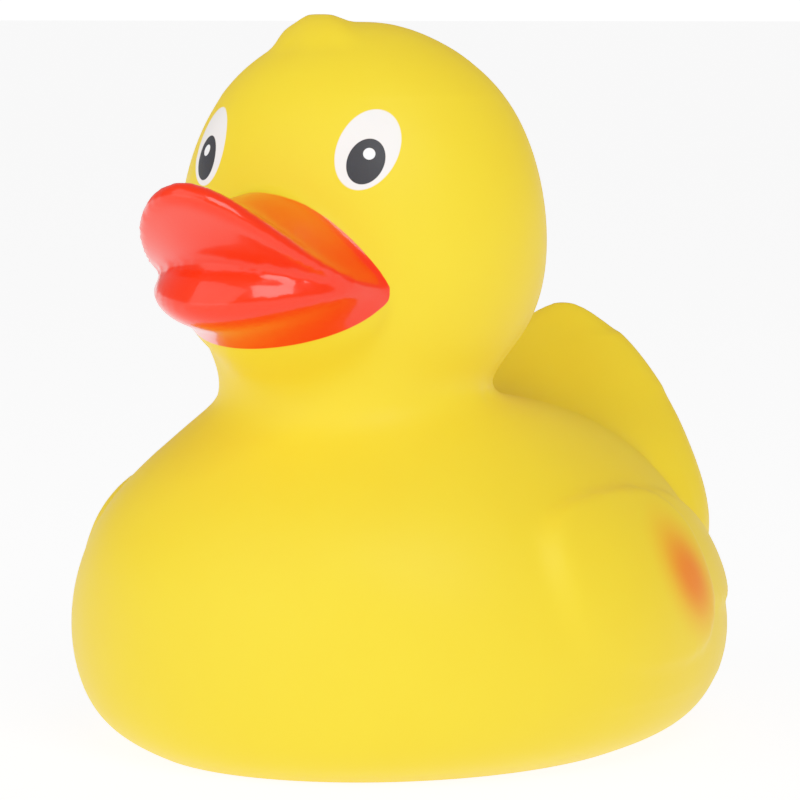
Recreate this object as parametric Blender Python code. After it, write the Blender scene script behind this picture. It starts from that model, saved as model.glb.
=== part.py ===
"""Rubber duck: one hollow moulding of soft vinyl, with a vent hole in its flat base.

The duck stands on the plane z = 0, faces -Y, and its left side is at +X. Lengths below are in
millimetres and become metres as each mesh is finished.
"""
from math import acos, atan2, copysign, pi, radians, sqrt

import bmesh
import bpy
import numpy as np
from mathutils import Matrix

MM = 0.001

# ---- driving dimensions ----------------------------------------------------------------------
WALL = 2.0              # wall of the moulding
BASE_WALL = 2.5         # floor of the moulding, thicker where the vinyl pools
VENT_RADIUS = 4.0       # hole that lets air in and out of the hollow body
BASE_CENTRE_Y = 8.0     # middle of the flat base, behind the middle of the neck

# Sections through body, neck and head, from below the base to the crown. Each row is a level
# section: height, half-width, front, back, and where along Y it is widest.
HULL = (
    (-6.0, 0.0, 8.0, 8.0, 8.0),
    (-4.5, 18.0, -14.0, 30.0, 8.0),
    (0.0, 29.3, -26.8, 43.0, 8.0),
    (5.0, 37.5, -32.0, 51.0, 7.0),
    (13.0, 40.0, -33.3, 55.0, 6.0),
    (26.0, 35.8, -32.1, 51.7, 4.0),
    (36.0, 27.2, -24.3, 43.0, 3.0),
    (42.0, 19.4, -18.2, 23.5, 1.0),
    (45.5, 17.0, -18.4, 11.8, 0.0),
    (52.0, 20.6, -19.7, 19.6, 0.0),
    (63.0, 23.0, -21.5, 21.5, 0.0),
    (77.0, 19.5, -18.6, 18.6, 0.0),
    (86.0, 10.8, -10.4, 9.4, 0.0),
    (89.0, 0.0, 0.0, 0.0, 0.0),
)

# The upswept tail, as level sections again, from inside the body to the tip.
TAIL = (
    (4.0, 0.0, 40.0, 40.0, 40.0),
    (12.0, 20.0, 26.0, 54.0, 40.0),
    (24.0, 24.5, 22.0, 57.0, 43.0),
    (34.0, 20.6, 22.0, 56.5, 45.0),
    (38.5, 17.6, 31.0, 55.9, 46.5),
    (43.0, 13.8, 39.5, 54.6, 48.0),
    (46.5, 10.4, 43.5, 53.6, 48.5),
    (50.0, 5.8, 46.8, 51.6, 49.0),
    (52.5, 0.0, 49.0, 49.0, 49.0),
)

# The beak runs from cheek corner to cheek corner. Its section is a closed loop: reach in front of
# the corners, height over the corners, and how sharply that height falls away to the sides.
BEAK_CORNER_Y = -16.5
BEAK_CORNER_Z = 58.0
BEAK_HALF_WIDTH = 14.3
BEAK = (
    (4.0, 11.2, 2.0),       # root between the eyes
    (12.5, 10.3, 2.0),      # dished top
    (19.0, 11.8, 2.0),
    (22.0, 12.7, 2.0),      # turned-up rim
    (23.0, 11.5, 2.0),
    (21.9, 9.6, 2.0),
    (19.2, 6.7, 2.0),       # face of the upper bill
    (16.7, 3.8, 2.0),
    (16.2, 3.0, 2.0),       # mouth line
    (17.0, 2.3, 2.1),
    (18.5, 0.2, 2.4),
    (19.1, -1.6, 2.4),      # lower lip
    (18.3, -3.3, 2.1),
    (14.0, -5.2, 1.7),
    (8.5, -8.0, 1.3),       # chin
    (2.0, -12.0, 1.0),
    (-6.0, -9.0, 1.0),      # inside the head
    (-6.0, 8.0, 2.0),
)

# Two feathers a side, each the body's own skin raised inside an oval outline. The front one lies
# over the back one: outline centre (y, z), half-size (y, z), tilt, fullness of the outline (1 is an
# ellipse, less is squarer), raise, and shift to the back.
FEATHERS = (
    ((21.5, 24.4), (16.0, 6.8), -15.0, 1.0, 0.5, 1.2),
    ((5.3, 22.3), (16.5, 10.8), 0.0, 0.68, 1.7, 0.8),
)

# Three swept locks of the crest: centre, turn about Z, and forward lean.
LOCK_HALF_SIZE = (3.2, 7.4, 2.8)
LOCKS = (
    ((-5.2, -6.2, 84.9), 32.0, 25.0),
    ((-2.2, -6.1, 86.1), 45.0, 24.0),
    ((0.4, -5.8, 86.2), 58.0, 23.0),
)

VINYL_YELLOW = (0.87, 0.65, 0.03, 1.0)
# ----------------------------------------------------------------------------------------------


class SmoothRun:
    """A natural cubic spline through rows of numbers, spaced by their distance apart."""

    def __init__(self, rows):
        self.rows = np.array(rows, float)
        self.step = np.linalg.norm(np.diff(self.rows, axis=0), axis=1)
        self.at = np.concatenate(([0.0], np.cumsum(self.step)))
        count = len(self.rows)
        matrix = np.eye(count)
        right = np.zeros_like(self.rows)
        for i in range(1, count - 1):
            before, after = self.step[i - 1], self.step[i]
            matrix[i, i - 1:i + 2] = before, 2 * (before + after), after
            right[i] = 6 * ((self.rows[i + 1] - self.rows[i]) / after
                            - (self.rows[i] - self.rows[i - 1]) / before)
        self.bend = np.linalg.solve(matrix, right)

    def point(self, t):
        i = int(np.clip(np.searchsorted(self.at, t) - 1, 0, len(self.step) - 1))
        h = self.step[i]
        q = (t - self.at[i]) / h
        p = 1 - q
        curve = (p ** 3 - p) * self.bend[i] + (q ** 3 - q) * self.bend[i + 1]
        return p * self.rows[i] + q * self.rows[i + 1] + curve * h * h / 6


def past_pole(row, pole):
    """The row on the far side of a pole, which makes the run cross the pole square on."""
    return (row[0], -row[1]) + tuple(2 * p - r for r, p in zip(row[2:], pole[2:]))


def ball(rings, sides):
    bm = bmesh.new()
    bmesh.ops.create_uvsphere(bm, u_segments=sides, v_segments=rings, radius=1)
    return bm


def loft(rows, rings, sides):
    """A ball whose level rings take the sections' outlines."""
    run = SmoothRun([past_pole(rows[1], rows[0]), *rows, past_pole(rows[-2], rows[-1])])
    low, high = run.at[1], run.at[-2]
    bm = ball(rings, sides)
    for vert in bm.verts:
        from_top = acos(max(-1.0, min(1.0, vert.co.z))) / pi
        z, width, front, back, middle = run.point(high + (low - high) * from_top)
        ring = sqrt(vert.co.x ** 2 + vert.co.y ** 2)
        if ring < 1e-6:
            vert.co = (0, middle, z)
            continue
        across, along = vert.co.x / ring, vert.co.y / ring
        depth = middle - front if along < 0 else back - middle
        vert.co = (width * across, middle + depth * along, z)
    return bm


def beak():
    """A ball with its poles at the cheek corners, whose meridians follow the beak's section."""
    count = len(BEAK)
    lap = 4
    run = SmoothRun([BEAK[i % count] for i in range(-lap, count + lap + 1)])
    start, end = run.at[lap], run.at[lap + count]
    bm = ball(rings=20, sides=44)
    for vert in bm.verts:
        across = vert.co.z
        inward = sqrt(max(0.0, 1 - across * across))
        around = (atan2(vert.co.y, vert.co.x) / (2 * pi)) % 1.0
        reach, height, fall = run.point(start + (end - start) * around)
        vert.co = (BEAK_HALF_WIDTH * across, BEAK_CORNER_Y - reach * inward,
                   BEAK_CORNER_Z + height * inward ** fall)
    return bm


def lock(centre, turn, lean):
    bm = ball(rings=8, sides=12)
    bmesh.ops.scale(bm, vec=LOCK_HALF_SIZE, verts=bm.verts)
    place = Matrix.Translation(centre) @ Matrix.Rotation(radians(turn), 4, 'Z')
    bmesh.ops.transform(bm, matrix=place @ Matrix.Rotation(radians(lean), 4, 'X'), verts=bm.verts)
    return bm


def finish(name, bm):
    """Turn a bmesh in millimetres into an object in metres."""
    bmesh.ops.scale(bm, vec=(MM, MM, MM), verts=bm.verts)
    bmesh.ops.recalc_face_normals(bm, faces=bm.faces)
    mesh = bpy.data.meshes.new(name)
    bm.to_mesh(mesh)
    bm.free()
    obj = bpy.data.objects.new(name, mesh)
    bpy.context.scene.collection.objects.link(obj)
    return obj


def combine(target, other, operation):
    """Apply an exact Boolean to the target and drop the other shape."""
    modifier = target.modifiers.new(operation.title(), 'BOOLEAN')
    modifier.operation = operation
    modifier.solver = 'EXACT'
    modifier.object = other
    bpy.context.view_layer.objects.active = target
    bpy.ops.object.modifier_apply(modifier=modifier.name)
    bpy.data.objects.remove(other)


def proud(z, raised):
    """How far a feather stands off at a height: nothing at its foot, all of it from its middle up."""
    return raised * min(1.0, max(0.0, (z - 8) / 16))


def feather(side, centre, half_size, tilt, fullness, raised, shift):
    """The body's skin moved outwards and back, kept only inside the feather's outline."""
    skin_rows = []
    for z, width, front, back, middle in HULL:
        grow = proud(z, raised) if width else 0.0
        skin_rows.append((z, width + grow, front - grow + shift, back + grow + shift, middle + shift))
    skin = finish("skin", loft(skin_rows, rings=38, sides=44))
    outline = ball(rings=14, sides=28)
    for vert in outline.verts:
        vert.co.y = copysign(abs(vert.co.y) ** fullness, vert.co.y)
        vert.co.z = copysign(abs(vert.co.z) ** fullness, vert.co.z)
    bmesh.ops.scale(outline, vec=(30.0, half_size[0], half_size[1]), verts=outline.verts)
    place = Matrix.Translation((25.0, centre[0], centre[1])) @ Matrix.Rotation(radians(tilt), 4, 'X')
    bmesh.ops.transform(outline, matrix=place, verts=outline.verts)
    bmesh.ops.scale(outline, vec=(side, 1, 1), verts=outline.verts)
    combine(skin, finish("outline", outline), 'INTERSECT')
    return skin


def cut_flat(obj, height):
    """Cut the shape level at a height, keep what is above, and close it with a flat face."""
    bm = bmesh.new()
    bm.from_mesh(obj.data)
    cut = bmesh.ops.bisect_plane(bm, geom=bm.verts[:] + bm.edges[:] + bm.faces[:],
                                 plane_co=(0, 0, height * MM), plane_no=(0, 0, -1), clear_outer=True)
    rim = [item for item in cut['geom_cut'] if isinstance(item, bmesh.types.BMEdge)]
    bmesh.ops.holes_fill(bm, edges=rim)
    bm.to_mesh(obj.data)
    bm.free()


def hollow():
    """The cavity: body and tail, one wall smaller all round, and the vent hole down through the base."""
    inner = [[(z - WALL * (z > 40) * (w == 0), max(0.0, w - WALL), f + WALL * (w > 0), b - WALL * (w > 0), m)
              for z, w, f, b, m in rows] for rows in (HULL, TAIL)]
    cavity = finish("cavity", loft(inner[0], rings=24, sides=28))
    combine(cavity, finish("tail_cavity", loft(inner[1], rings=10, sides=16)), 'UNION')
    cut_flat(cavity, BASE_WALL)
    vent = bmesh.new()
    bmesh.ops.create_cone(vent, cap_ends=True, segments=32, radius1=VENT_RADIUS, radius2=VENT_RADIUS,
                          depth=4 * BASE_WALL, matrix=Matrix.Translation((0, BASE_CENTRE_Y, BASE_WALL)))
    combine(cavity, finish("vent", vent), 'UNION')
    return cavity


def to_box_middle(obj):
    """Slide the shape along Y until the origin is in the middle of its box, front to back."""
    ys = [vert.co.y for vert in obj.data.vertices]
    obj.data.transform(Matrix.Translation((0, -(min(ys) + max(ys)) / 2, 0)))


def vinyl():
    material = bpy.data.materials.new("yellow_vinyl")
    material.use_nodes = True
    shader = material.node_tree.nodes["Principled BSDF"]
    shader.inputs["Base Color"].default_value = VINYL_YELLOW
    shader.inputs["Roughness"].default_value = 0.5
    shader.inputs["Metallic"].default_value = 0.0
    return material


def duck_body():
    duck = finish("duck_body", loft(HULL, rings=38, sides=44))
    combine(duck, finish("tail", loft(TAIL, rings=16, sides=28)), 'UNION')
    combine(duck, finish("beak", beak()), 'UNION')
    for side in (1, -1):
        for shape in FEATHERS:
            combine(duck, feather(side, *shape), 'UNION')
    for shape in LOCKS:
        combine(duck, finish("lock", lock(*shape)), 'UNION')
    cut_flat(duck, 0.0)
    combine(duck, hollow(), 'DIFFERENCE')
    to_box_middle(duck)
    duck.data.materials.clear()
    duck.data.materials.append(vinyl())
    duck.data.shade_smooth()
    duck.data.set_sharp_from_angle(angle=radians(35))
    return duck


for old in list(bpy.data.objects):
    bpy.data.objects.remove(old)
duck = duck_body()
print("duck_body:", len(duck.data.vertices), "vertices,", len(duck.data.polygons), "faces")
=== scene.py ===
# %% [markdown]
# # A rubber duck
# A bath duck is one hollow moulding of soft vinyl. A mould turns round while the vinyl inside melts
# and coats its walls, so the duck comes out in one piece, with no seams and no sharp corners.
# The beak is then painted, the eyes are printed, and a little orange is sprayed on the wing tips.
# This lesson loads the duck's measured body as a frame and builds the finished surface inside it.

# %% Load the frame
from math import acos, atan2, copysign, cos, exp, pi, radians, sin, sqrt

import bmesh
import bpy
import numpy as np
from mathutils import Matrix, Vector


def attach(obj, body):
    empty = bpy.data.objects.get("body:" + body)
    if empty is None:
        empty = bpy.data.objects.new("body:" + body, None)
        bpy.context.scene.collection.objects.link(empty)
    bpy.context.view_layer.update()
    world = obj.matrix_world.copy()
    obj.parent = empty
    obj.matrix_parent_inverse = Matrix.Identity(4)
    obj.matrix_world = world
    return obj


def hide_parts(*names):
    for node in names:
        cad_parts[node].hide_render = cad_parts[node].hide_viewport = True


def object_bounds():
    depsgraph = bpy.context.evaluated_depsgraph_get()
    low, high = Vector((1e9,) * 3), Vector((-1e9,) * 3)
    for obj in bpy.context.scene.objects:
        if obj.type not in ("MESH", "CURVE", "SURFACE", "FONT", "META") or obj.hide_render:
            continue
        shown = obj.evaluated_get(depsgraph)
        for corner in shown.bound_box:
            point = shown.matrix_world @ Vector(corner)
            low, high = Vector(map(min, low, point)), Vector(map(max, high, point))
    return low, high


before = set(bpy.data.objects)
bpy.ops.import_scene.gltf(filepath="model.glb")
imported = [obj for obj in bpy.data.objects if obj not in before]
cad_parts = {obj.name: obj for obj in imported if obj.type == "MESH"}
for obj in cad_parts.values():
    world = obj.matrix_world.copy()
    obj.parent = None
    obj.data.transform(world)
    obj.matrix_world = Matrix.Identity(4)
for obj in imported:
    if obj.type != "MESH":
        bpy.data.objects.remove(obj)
cad_low, cad_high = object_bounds()
print("the duck's box:", tuple(round(v * 1000, 1) for v in cad_high - cad_low), "mm")

# %% [markdown]
# ## Drawing units
# The outlines below are drawn in a designer's units, on a drawing 90.3 units tall that stands on
# z = 0 and faces -Y. One unit is worked out from the frame, so the drawing always fills the body's
# real height. The drawing's own middle lies a little behind the neck, so it is slid along Y at the end.

# %% Drawing units
DRAWN_HEIGHT = 90.3
UNIT = (cad_high.z - cad_low.z) / DRAWN_HEIGHT
print("one drawing unit is", round(UNIT * 1000, 3), "mm")

# %% [markdown]
# ## Smooth runs
# A body like this has no flat faces, and the eye notices a surface whose curvature jumps. A natural
# cubic spline passes through every row of numbers and keeps its curvature continuous, so a dozen
# well-placed sections are enough for the whole body. A Bezier curve would need handles for each one.

# %% Smooth runs
class SmoothRun:
    """A natural cubic spline through rows of numbers, spaced by their distance apart."""

    def __init__(self, rows):
        self.rows = np.array(rows, float)
        self.step = np.linalg.norm(np.diff(self.rows, axis=0), axis=1)
        self.at = np.concatenate(([0.0], np.cumsum(self.step)))
        count = len(self.rows)
        matrix = np.eye(count)
        right = np.zeros_like(self.rows)
        for i in range(1, count - 1):
            before, after = self.step[i - 1], self.step[i]
            matrix[i, i - 1:i + 2] = before, 2 * (before + after), after
            right[i] = 6 * ((self.rows[i + 1] - self.rows[i]) / after
                            - (self.rows[i] - self.rows[i - 1]) / before)
        self.bend = np.linalg.solve(matrix, right)

    def point(self, t):
        i = int(np.clip(np.searchsorted(self.at, t) - 1, 0, len(self.step) - 1))
        h = self.step[i]
        q = (t - self.at[i]) / h
        p = 1 - q
        curve = (p ** 3 - p) * self.bend[i] + (q ** 3 - q) * self.bend[i + 1]
        return p * self.rows[i] + q * self.rows[i + 1] + curve * h * h / 6

# %% [markdown]
# ## A ball that takes an outline
# The body, the tail and the hollow inside them are all closed round forms. Each starts as a ball
# from create_uvsphere, which already has level rings and closed poles, and every ring is moved to
# the section that the spline gives for its height. Lofting separate circles would need bridging and
# capping for the same result.

# %% Lofted forms
def ball(rings, sides):
    bm = bmesh.new()
    bmesh.ops.create_uvsphere(bm, u_segments=sides, v_segments=rings, radius=1)
    return bm


def past_pole(row, pole):
    """The row on the far side of a pole, which makes the run cross the pole square on."""
    return (row[0], -row[1]) + tuple(2 * p - r for r, p in zip(row[2:], pole[2:]))


def loft(rows, rings, sides):
    """Rows are height, half-width, front, back, and where the section is widest."""
    run = SmoothRun([past_pole(rows[1], rows[0]), *rows, past_pole(rows[-2], rows[-1])])
    low, high = run.at[1], run.at[-2]
    sections = {}
    bm = ball(rings, sides)
    for vert in bm.verts:
        from_top = round(acos(max(-1.0, min(1.0, vert.co.z))) / pi, 6)
        if from_top not in sections:
            sections[from_top] = run.point(high + (low - high) * from_top)
        z, width, front, back, middle = sections[from_top]
        ring = sqrt(vert.co.x ** 2 + vert.co.y ** 2)
        if ring < 1e-6:
            vert.co = (0, middle, z)
            continue
        across, along = vert.co.x / ring, vert.co.y / ring
        depth = middle - front if along < 0 else back - middle
        vert.co = (width * across, middle + depth * along, z)
    return bm


def make_object(name, bm):
    """A bmesh in drawing units becomes an object in metres, with its faces outwards."""
    bmesh.ops.scale(bm, vec=(UNIT, UNIT, UNIT), verts=bm.verts)
    bmesh.ops.recalc_face_normals(bm, faces=bm.faces)
    mesh = bpy.data.meshes.new(name)
    bm.to_mesh(mesh)
    bm.free()
    obj = bpy.data.objects.new(name, mesh)
    bpy.context.scene.collection.objects.link(obj)
    return obj

# %% [markdown]
# ## Joining forms
# A mould maker carves one surface, but it is easier to think in forms that grow out of each other.
# An exact Boolean joins them where they cross. The joints come out sharp, and are softened later.

# %% Joining forms
def apply_modifier(obj, kind, **settings):
    modifier = obj.modifiers.new(kind.title(), kind)
    for key, value in settings.items():
        setattr(modifier, key, value)
    bpy.context.view_layer.objects.active = obj
    bpy.ops.object.modifier_apply(modifier=modifier.name)


def combine(target, other, operation):
    apply_modifier(target, 'BOOLEAN', operation=operation, solver='EXACT', object=other)
    bpy.data.objects.remove(other)

# %% [markdown]
# ## Body, neck and head
# Each row is a level section through the duck. The first two lie under the base, so that the run is
# already steep where the base is cut flat. The front of the head is flatter than its back, which is
# what makes the two eyes face partly forwards.

# %% Body, neck and head
HULL = (
    (-6.0, 0.0, 8.0, 8.0, 8.0),
    (-4.5, 18.0, -14.0, 30.0, 8.0),
    (0.0, 29.3, -26.8, 43.0, 8.0),
    (5.0, 37.5, -32.0, 51.0, 7.0),
    (13.0, 40.0, -33.3, 55.0, 6.0),
    (26.0, 35.8, -32.1, 51.7, 4.0),
    (36.0, 27.2, -24.3, 43.0, 3.0),
    (42.0, 19.4, -18.2, 23.5, 1.0),
    (45.5, 17.0, -18.4, 11.8, 0.0),
    (52.0, 20.6, -19.7, 19.6, 0.0),
    (63.0, 23.0, -21.5, 21.5, 0.0),
    (77.0, 19.5, -18.6, 18.6, 0.0),
    (86.0, 10.8, -10.4, 9.4, 0.0),
    (89.0, 0.0, 0.0, 0.0, 0.0),
)
duck = make_object("duck", loft(HULL, rings=96, sides=120))
print("body, neck and head:", len(duck.data.polygons), "faces")

# %% [markdown]
# ## Tail
# The tail stands up behind the back like the end of a boat. It is a loft of its own, because its
# sections belong to a second rounded form, and it is joined to the body low down inside it.

# %% Tail
TAIL = (
    (4.0, 0.0, 40.0, 40.0, 40.0),
    (12.0, 20.0, 26.0, 54.0, 40.0),
    (24.0, 24.5, 22.0, 57.0, 43.0),
    (34.0, 20.6, 22.0, 56.5, 45.0),
    (38.5, 17.6, 31.0, 55.9, 46.5),
    (43.0, 13.8, 39.5, 54.6, 48.0),
    (46.5, 10.4, 43.5, 53.6, 48.5),
    (50.0, 5.8, 46.8, 51.6, 49.0),
    (52.5, 0.0, 49.0, 49.0, 49.0),
)
combine(duck, make_object("tail", loft(TAIL, rings=48, sides=72)), 'UNION')

# %% [markdown]
# ## Beak
# The bill has a broad upper lip that turns up at its rim and a smaller pouting lower lip, and both
# run out at the cheeks. So the form is one closed section, drawn as a loop, that shrinks to a point
# at each corner of the mouth. A ball turned on its side has just that layout: its poles are the two
# corners, and each meridian follows the section.

# %% Beak
BEAK_CORNER_Y = -16.5
BEAK_CORNER_Z = 58.0
BEAK_HALF_WIDTH = 14.3
BEAK = (
    (4.0, 11.2, 2.0),       # root between the eyes
    (12.5, 10.3, 2.0),      # dished top
    (19.0, 11.8, 2.0),
    (22.0, 12.7, 2.0),      # turned-up rim
    (23.0, 11.5, 2.0),
    (21.9, 9.6, 2.0),
    (19.2, 6.7, 2.0),       # face of the upper bill
    (16.7, 3.8, 2.0),
    (16.2, 3.0, 2.0),       # mouth line
    (17.0, 2.3, 2.1),
    (18.5, 0.2, 2.4),
    (19.1, -1.6, 2.4),      # lower lip
    (18.3, -3.3, 2.1),
    (14.0, -5.2, 1.7),
    (8.5, -8.0, 1.3),       # chin
    (2.0, -12.0, 1.0),
    (-6.0, -9.0, 1.0),      # inside the head
    (-6.0, 8.0, 2.0),
)


def beak(rings=110, sides=150, lap=4):
    """Rows are reach, height over the corners, and how fast that height falls to the sides."""
    count = len(BEAK)
    run = SmoothRun([BEAK[i % count] for i in range(-lap, count + lap + 1)])
    start, end = run.at[lap], run.at[lap + count]
    bm = ball(rings, sides)
    for vert in bm.verts:
        across = vert.co.z
        inward = sqrt(max(0.0, 1 - across * across))
        around = (atan2(vert.co.y, vert.co.x) / (2 * pi)) % 1.0
        reach, height, fall = run.point(start + (end - start) * around)
        vert.co = (BEAK_HALF_WIDTH * across, BEAK_CORNER_Y - reach * inward,
                   BEAK_CORNER_Z + height * inward ** fall)
    return bm


combine(duck, make_object("beak", beak()), 'UNION')
print("with tail and beak:", len(duck.data.polygons), "faces")

# %% [markdown]
# ## Wings
# The wings are shallow relief, two feathers a side, each the body's own skin standing a millimetre
# or two proud. So a copy of the skin is made a little larger and further back, and only what lies
# inside the feather's oval outline is kept. It fades into the flank in front and stands off in a
# crisp step behind.

# %% Wings
FEATHERS = (
    ((21.5, 24.4), (16.0, 6.8), -15.0, 1.0, 0.5, 1.2),
    ((5.3, 22.3), (16.5, 10.8), 0.0, 0.68, 1.7, 0.8),
)


def proud(z, raised):
    """How far a feather stands off at a height: nothing at its foot, all of it from its middle up."""
    return raised * min(1.0, max(0.0, (z - 8) / 16))


def feather(side, centre, half_size, tilt, fullness, raised, shift):
    skin_rows = []
    for z, width, front, back, middle in HULL:
        grow = proud(z, raised) if width else 0.0
        skin_rows.append((z, width + grow, front - grow + shift, back + grow + shift, middle + shift))
    skin = make_object("skin", loft(skin_rows, rings=96, sides=120))
    outline = ball(rings=48, sides=96)
    for vert in outline.verts:
        vert.co.y = copysign(abs(vert.co.y) ** fullness, vert.co.y)
        vert.co.z = copysign(abs(vert.co.z) ** fullness, vert.co.z)
    bmesh.ops.scale(outline, vec=(30.0, half_size[0], half_size[1]), verts=outline.verts)
    place = Matrix.Translation((25.0, centre[0], centre[1])) @ Matrix.Rotation(radians(tilt), 4, 'X')
    bmesh.ops.transform(outline, matrix=place, verts=outline.verts)
    bmesh.ops.scale(outline, vec=(side, 1, 1), verts=outline.verts)
    combine(skin, make_object("outline", outline), 'INTERSECT')
    return skin


for side in (1, -1):
    for shape in FEATHERS:
        combine(duck, feather(side, *shape), 'UNION')

# %% [markdown]
# ## Crest
# Three soft locks of down lie side by side on the crown, all swept the same way.

# %% Crest
LOCK_HALF_SIZE = (3.2, 7.4, 2.8)
LOCKS = (
    ((-5.2, -6.2, 84.9), 32.0, 25.0),
    ((-2.2, -6.1, 86.1), 45.0, 24.0),
    ((0.4, -5.8, 86.2), 58.0, 23.0),
)


def lock(centre, turn, lean):
    bm = ball(rings=24, sides=36)
    bmesh.ops.scale(bm, vec=LOCK_HALF_SIZE, verts=bm.verts)
    place = Matrix.Translation(centre) @ Matrix.Rotation(radians(turn), 4, 'Z')
    bmesh.ops.transform(bm, matrix=place @ Matrix.Rotation(radians(lean), 4, 'X'), verts=bm.verts)
    return bm


for shape in LOCKS:
    combine(duck, make_object("lock", lock(*shape)), 'UNION')

# %% Flat base and blind vent
def cut_flat(obj, height):
    bm = bmesh.new()
    bm.from_mesh(obj.data)
    cut = bmesh.ops.bisect_plane(bm, geom=bm.verts[:] + bm.edges[:] + bm.faces[:],
                                 plane_co=(0, 0, height * UNIT), plane_no=(0, 0, -1), clear_outer=True)
    rim = [item for item in cut['geom_cut'] if isinstance(item, bmesh.types.BMEdge)]
    bmesh.ops.holes_fill(bm, edges=rim)
    bm.to_mesh(obj.data)
    bm.free()


VENT_RADIUS = 4.0
BASE_CENTRE_Y = 8.0


def vent(depth):
    bm = bmesh.new()
    bmesh.ops.create_cone(bm, cap_ends=True, segments=64, radius1=VENT_RADIUS, radius2=VENT_RADIUS,
                          depth=2 * depth, matrix=Matrix.Translation((0, BASE_CENTRE_Y, 0)))
    return make_object("vent", bm)


# %% Soften
VOXEL = 0.62
apply_modifier(duck, 'REMESH', mode='VOXEL', voxel_size=VOXEL * UNIT, adaptivity=0.0)
print("one even skin:", len(duck.data.polygons), "faces")


def oval(centre, half_size):
    """How far out a point is in an egg-shaped region on both sides: 0 in the middle, 1 at its edge."""
    def distance(x, y, z):
        offset = [(p - c) / h for p, c, h in zip((abs(x), y, z), centre, half_size)]
        return sqrt(sum(o * o for o in offset))
    return distance


def soften(obj, passes, distance):
    """Relax the vertices of a region, which shrinks from pass to pass so that its edge doesn't show."""
    bm = bmesh.new()
    bm.from_mesh(obj.data)
    ranked = sorted((distance(*(v.co / UNIT)), v.index) for v in bm.verts)
    reach = np.array([r[0] for r in ranked])
    bm.verts.ensure_lookup_table()
    ordered = [bm.verts[r[1]] for r in ranked]
    for i in range(passes):
        inside = int(np.searchsorted(reach, 1 - 0.7 * i / passes))
        bmesh.ops.smooth_vert(bm, verts=ordered[:inside], factor=0.5,
                              use_axis_x=True, use_axis_y=True, use_axis_z=True)
    bm.to_mesh(obj.data)
    bm.free()
    print("softened", int((reach < 1).sum()), "vertices over", passes, "passes")


def off_details(x, y, z):
    """0 on the plain skin, 2 on the beak, the crest, the wings and in the groove at the back of the neck."""
    on_beak = y < -15 and z > 44 and abs(x) < 16
    on_crest = z > 80 and y < 5
    on_wing = abs(x) > 18 and -14 < y < 42 and 8 < z < 36
    in_groove = y > 0 and 41 < z < 48
    return 2 * (on_beak or on_crest or on_wing or in_groove)


soften(duck, 4, lambda x, y, z: 0)
soften(duck, 30, off_details)
soften(duck, 240, oval((0, 36, 38), (26, 16, 9)))
soften(duck, 120, oval((0, -16, 47), (20, 11, 8)))
soften(duck, 5, oval((0, -6, 88), (14, 12, 9)))
soften(duck, 25, oval((33, -9, 20), (12, 8, 14)))

cut_flat(duck, 0.0)
combine(duck, vent(depth=7.0), 'DIFFERENCE')

# %% Hollow inside
WALL = 2.0
BASE_WALL = 2.5


def hollow():
    inner = [[(z - WALL * (z > 40) * (w == 0), max(0.0, w - WALL), f + WALL * (w > 0), b - WALL * (w > 0), m)
              for z, w, f, b, m in rows] for rows in (HULL, TAIL)]
    cavity = make_object("cavity", loft(inner[0], rings=40, sides=48))
    combine(cavity, make_object("tail_cavity", loft(inner[1], rings=16, sides=28)), 'UNION')
    cut_flat(cavity, BASE_WALL)
    return cavity


combine(duck, hollow(), 'DIFFERENCE')
print("hollow duck:", len(duck.data.polygons), "faces")

# %% Fit to the frame
def to_box_middle(obj, low, high):
    """Slide the mesh along Y until it is in the middle of the frame's box."""
    ys = [v.co.y for v in obj.data.vertices]
    slide = (low.y + high.y) / 2 - (min(ys) + max(ys)) / 2
    obj.data.transform(Matrix.Translation((0, slide, 0)))
    return slide


slide = to_box_middle(duck, cad_low, cad_high)
duck.data.shade_smooth()
duck.data.set_sharp_from_angle(angle=radians(50))
print("fitted with slide", round(slide * 1000, 2), "mm; size", [round(v * 1000, 2) for v in duck.dimensions])

# %% Shader arithmetic
class Wire:
    """A node's output that takes part in Python arithmetic."""

    def __init__(self, tree, socket):
        self.tree = tree
        self.socket = socket

    def _math(self, operation, *terms):
        node = self.tree.nodes.new('ShaderNodeMath')
        node.operation = operation
        for socket, term in zip(node.inputs, terms):
            connect(self.tree, term, socket)
        return Wire(self.tree, node.outputs[0])

    def __add__(self, other): return self._math('ADD', self, other)
    def __radd__(self, other): return self._math('ADD', other, self)
    def __sub__(self, other): return self._math('SUBTRACT', self, other)
    def __rsub__(self, other): return self._math('SUBTRACT', other, self)
    def __mul__(self, other): return self._math('MULTIPLY', self, other)
    def __rmul__(self, other): return self._math('MULTIPLY', other, self)
    def __truediv__(self, other): return self._math('DIVIDE', self, other)
    def __pow__(self, other): return self._math('POWER', self, other)
    def __abs__(self): return self._math('ABSOLUTE', self)
    def above(self, other): return self._math('GREATER_THAN', self, other)
    def below(self, other): return self._math('LESS_THAN', self, other)
    def larger(self, other): return self._math('MAXIMUM', self, other)


def connect(tree, value, socket):
    if isinstance(value, Wire):
        tree.links.new(value.socket, socket)
    else:
        socket.default_value = value


class Finish:
    """A material, and one method that adds any node to it."""

    def __init__(self, name):
        self.material = bpy.data.materials.new(name)
        self.material.use_nodes = True
        self.tree = self.material.node_tree
        self.shader = self.tree.nodes["Principled BSDF"]

    def node(self, kind, settings, inputs, output=0):
        node = self.tree.nodes.new(kind)
        for key, value in settings.items():
            setattr(node, key, value)
        for key, value in inputs.items():
            connect(self.tree, value, node.inputs[key])
        return Wire(self.tree, node.outputs[output])

    def set(self, **inputs):
        for key, value in inputs.items():
            connect(self.tree, value, self.shader.inputs[key.replace("_", " ")])

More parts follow.
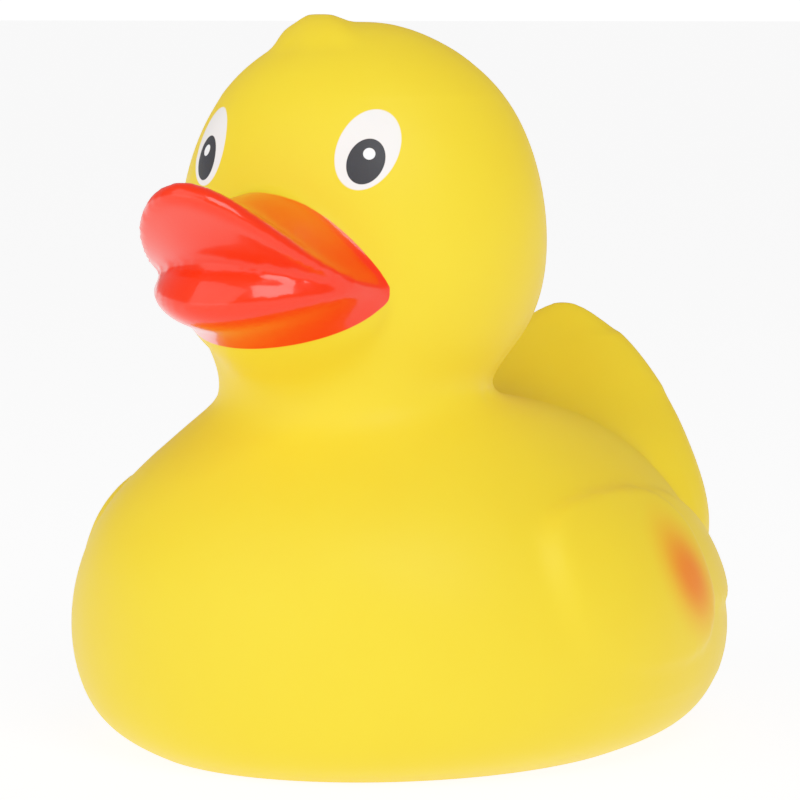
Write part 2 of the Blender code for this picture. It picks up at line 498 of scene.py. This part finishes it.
# %% Vinyl, paint and print
vinyl = Finish("duck_vinyl")
place = vinyl.node('ShaderNodeTexCoord', {}, {}, 'Object')
drawn = vinyl.node('ShaderNodeVectorMath', {'operation': 'SUBTRACT'}, {0: place, 1: Vector((0, slide, 0))})
drawn = vinyl.node('ShaderNodeVectorMath', {'operation': 'DIVIDE'}, {0: drawn, 1: Vector((UNIT, UNIT, UNIT))})


def axis(wire, name):
    return vinyl.node('ShaderNodeSeparateXYZ', {}, {0: wire}, name)


def ramp(value, start, end, low=0.0, high=1.0):
    """A smooth step of a value from one level to another."""
    return vinyl.node('ShaderNodeMapRange', {'interpolation_type': 'SMOOTHSTEP'},
                      {'Value': value, 'From Min': start, 'From Max': end, 'To Min': low, 'To Max': high})


def blend_colours(mask, under, over):
    return vinyl.node('ShaderNodeMix', {'data_type': 'RGBA'}, {0: mask, 6: under, 7: over}, 2)


def noise(scale, detail=2.0, roughness=0.5):
    return vinyl.node('ShaderNodeTexNoise', {}, {'Vector': drawn, 'Scale': scale, 'Detail': detail,
                                                 'Roughness': roughness}, 'Fac')


x, y, z = axis(drawn, 'X'), axis(drawn, 'Y'), axis(drawn, 'Z')
side_x = abs(x)

YELLOW = (0.87, 0.56, 0.022, 1)
YELLOW_DEEP = (0.85, 0.53, 0.020, 1)
colour = blend_colours(noise(0.12, 3.0), YELLOW, YELLOW_DEEP)

# wing spray
SPRAY_CENTRE = (13.5, 22.2)
SPRAY_HALF = (7.2, 5.8)
SPRAY_TILT = radians(-45)
SPRAY_ORANGE = (0.86, 0.165, 0.007, 1)
along = (y - SPRAY_CENTRE[0]) * cos(SPRAY_TILT) + (z - SPRAY_CENTRE[1]) * sin(SPRAY_TILT)
upward = (z - SPRAY_CENTRE[1]) * cos(SPRAY_TILT) - (y - SPRAY_CENTRE[0]) * sin(SPRAY_TILT)
from_spray = ((along / SPRAY_HALF[0]) ** 2.0 + (upward / SPRAY_HALF[1]) ** 2.0) ** 0.5
spray = ramp(from_spray, 0.15, 1.45, 1.0, 0.0) * side_x.above(20.0)
colour = blend_colours(spray, colour, SPRAY_ORANGE)

# eyes
EYE_CENTRE = Vector((11.35, -16.45, 74.2))
EYE_FACING = Vector((0.52, -0.80, 0.30)).normalized()
EYE_TILT = radians(24)
PUPIL_DROP = (-0.25, -1.55)
GLINT_OFFSET = (0.15, -0.65)


def eye_axes():
    level = Vector((0, 0, 1)).cross(EYE_FACING).normalized()
    rise = EYE_FACING.cross(level)
    outward = -level if level.x < 0 else level
    return outward, rise


outward, rise = eye_axes()
mirrored = vinyl.node('ShaderNodeCombineXYZ', {}, {0: side_x, 1: y, 2: z})
from_eye = vinyl.node('ShaderNodeVectorMath', {'operation': 'SUBTRACT'}, {0: mirrored, 1: EYE_CENTRE})


def dot(wire, direction):
    return vinyl.node('ShaderNodeVectorMath', {'operation': 'DOT_PRODUCT'}, {0: wire, 1: direction}, 'Value')


eye_u, eye_v, eye_depth = dot(from_eye, outward), dot(from_eye, rise), dot(from_eye, EYE_FACING)
on_face = eye_depth.above(-8.0)


def printed_oval(centre, half_width, half_height, tilt=EYE_TILT, edge=0.02):
    """1 inside a tilted oval of the eye's drawing, with a thin soft edge."""
    u = eye_u - centre[0]
    v = eye_v - centre[1]
    wide = (u * cos(tilt) - v * sin(tilt)) / half_width
    tall = (u * sin(tilt) + v * cos(tilt)) / half_height
    distance = (wide ** 2.0 + tall ** 2.0) ** 0.5
    return ramp(distance, 1 - edge, 1 + edge, 1.0, 0.0) * on_face


EYE_WHITE = (0.86, 0.80, 0.76, 1)
PUPIL = (0.030, 0.030, 0.034, 1)
white = printed_oval((0, 0), 3.6, 5.2)
pupil = printed_oval(PUPIL_DROP, 2.2, 2.9)
glint = printed_oval(GLINT_OFFSET, 0.7, 0.7, tilt=0.0, edge=0.06)
colour = blend_colours(white, colour, EYE_WHITE)
colour = blend_colours(pupil, colour, PUPIL)
colour = blend_colours(glint, colour, (0.9, 0.9, 0.9, 1))

# beak paint, with a painted reflection of the yellow head on the root of the bill
PAINT_HALF_WIDTH = 14.4
across_beak = (1 - (side_x / PAINT_HALF_WIDTH) ** 2.0).larger(0.0)
over_corner = z - BEAK_CORNER_Z
below_top = ramp(over_corner - 11.0 * across_beak ** 0.8, -0.08, 0.08, 1.0, 0.0)
above_chin = ramp(over_corner + 7.2 * across_beak ** 0.42, -0.08, 0.08)
in_front = ramp(y, -22.5, -22.7)
on_head = side_x.below(PAINT_HALF_WIDTH) * y.below(-12.0)
paint = below_top.larger(in_front) * above_chin * on_head
ORANGE_RED = (0.93, 0.020, 0.002, 1)
HEAD_REFLECTION_ORANGE = (0.93, 0.20, 0.008, 1)
# painted reflection: the dished root of the upper bill is tinted orange-yellow, standing in for the yellow
# head seen in the glossy paint
painted_head_reflection = ramp(y, -31.0, -22.0) * ramp(side_x, 13.0, 6.0) * ramp(z, 60.0, 64.0)
beak_colour = blend_colours(painted_head_reflection * 0.45, ORANGE_RED, HEAD_REFLECTION_ORANGE)
colour = blend_colours(paint, colour, beak_colour)

print_gloss = white.larger(pupil)
grain = noise(9.0, 2.0, 0.6)
peel = noise(0.9, 2.0)
rough = 0.50 + (grain - 0.5) * 0.08
rough = rough * (1 - paint) + paint * 0.28
rough = rough * (1 - print_gloss) + print_gloss * 0.38
bump = vinyl.node('ShaderNodeBump', {}, {'Strength': 0.35, 'Distance': 0.03 * UNIT,
                                         'Height': grain * (1 - paint) + peel * 0.6}, 'Normal')
vinyl.set(Base_Color=colour, Roughness=rough, Normal=bump, Coat_Weight=paint * 0.5, Coat_Roughness=0.06,
          Coat_IOR=1.4, IOR=1.45, Specular_IOR_Level=0.15, Subsurface_Weight=0.12, Subsurface_Radius=(0.0022, 0.0012, 0.0003), Subsurface_Scale=1.0)
duck.data.materials.clear()
duck.data.materials.append(vinyl.material)

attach(duck, "root")
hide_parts("duck_body")

# %% Floor
def plane_object(name, size):
    bm = bmesh.new()
    bmesh.ops.create_grid(bm, x_segments=1, y_segments=1, size=size)
    mesh = bpy.data.meshes.new(name)
    bm.to_mesh(mesh)
    bm.free()
    obj = bpy.data.objects.new(name, mesh)
    bpy.context.scene.collection.objects.link(obj)
    return obj


floor = plane_object("floor", 40.0)
floor.location.z = cad_low.z - 0.0001
paper = Finish("white_table")
paper.set(Base_Color=(0.3, 0.3, 0.3, 1), Roughness=0.8, Emission_Color=(1, 1, 1, 1), Emission_Strength=1.4)
floor.data.materials.append(paper.material)

# %% Light
world = bpy.data.worlds.new("studio")
bpy.context.scene.world = world
world.use_nodes = True
sky = world.node_tree.nodes["Background"]
geometry = world.node_tree.nodes.new('ShaderNodeTexCoord')
split = world.node_tree.nodes.new('ShaderNodeSeparateXYZ')
world.node_tree.links.new(geometry.outputs['Generated'], split.inputs[0])
band = world.node_tree.nodes.new('ShaderNodeMapRange')
band.inputs['From Min'].default_value = 0.02
band.inputs['From Max'].default_value = 0.10
band.inputs['To Min'].default_value = 1.8
band.inputs['To Max'].default_value = 0.35
world.node_tree.links.new(split.outputs['Z'], band.inputs['Value'])
world.node_tree.links.new(band.outputs[0], sky.inputs['Strength'])
sky.inputs['Color'].default_value = (1, 1, 1, 1)


def soft_box(name, place, size, power):
    light = bpy.data.lights.new(name, 'AREA')
    light.size = size
    light.energy = power
    obj = bpy.data.objects.new(name, light)
    bpy.context.scene.collection.objects.link(obj)
    obj.location = place
    aim = Vector((0, 0, (cad_low.z + cad_high.z) / 2))
    obj.rotation_euler = (aim - Vector(place)).to_track_quat('-Z', 'Y').to_euler()
    return obj


def around(azimuth, elevation, distance):
    """A place seen from the duck: 0 degrees is ahead of it, and 90 is on its left."""
    a, e = radians(azimuth), radians(elevation)
    return distance * Vector((sin(a) * cos(e), -cos(a) * cos(e), sin(e)))


soft_box("key", around(-15, 28, 0.8), 0.8, 4.0)
soft_box("fill", around(50, 42, 0.75), 0.40, 4.0)

# %% Film response
view = bpy.context.scene.view_settings
view.view_transform = 'Standard'
view.use_curve_mapping = True
response = view.curve_mapping
response.clip_max_x = 2.0
response.curves[3].points[1].location = (1.77, 1.0)
for level in (0.05, 0.15, 0.3, 0.5, 0.8, 1.2):
    response.curves[3].points.new(level, 1.25 * (1 - exp(-level / 1.1)))
response.update()

# %% Camera
AZIMUTH = radians(33)
DISTANCE = 490.0
CAMERA_HEIGHT = 90.0
PITCH = radians(5.2)
camera = bpy.data.objects.new("camera", bpy.data.cameras.new("camera"))
bpy.context.scene.collection.objects.link(camera)
camera.data.lens = 180.0
camera.data.sensor_width = 36.0
towards = Vector((sin(AZIMUTH), -cos(AZIMUTH), 0))
right = Vector((cos(AZIMUTH), sin(AZIMUTH), 0))
ahead = -towards * cos(PITCH) - Vector((0, 0, 1)) * sin(PITCH)
up = right.cross(ahead)
drawn_eye = towards * DISTANCE + Vector((0, 0, CAMERA_HEIGHT))
gaze = ahead + right * ((400 - 363.4) / 4000) - up * ((400 - 377.5) / 4000)
camera.location = drawn_eye * UNIT + Vector((0, slide, 0))
camera.rotation_euler = gaze.to_track_quat('-Z', 'Y').to_euler()
camera.data.clip_start = 0.01
bpy.context.scene.camera = camera
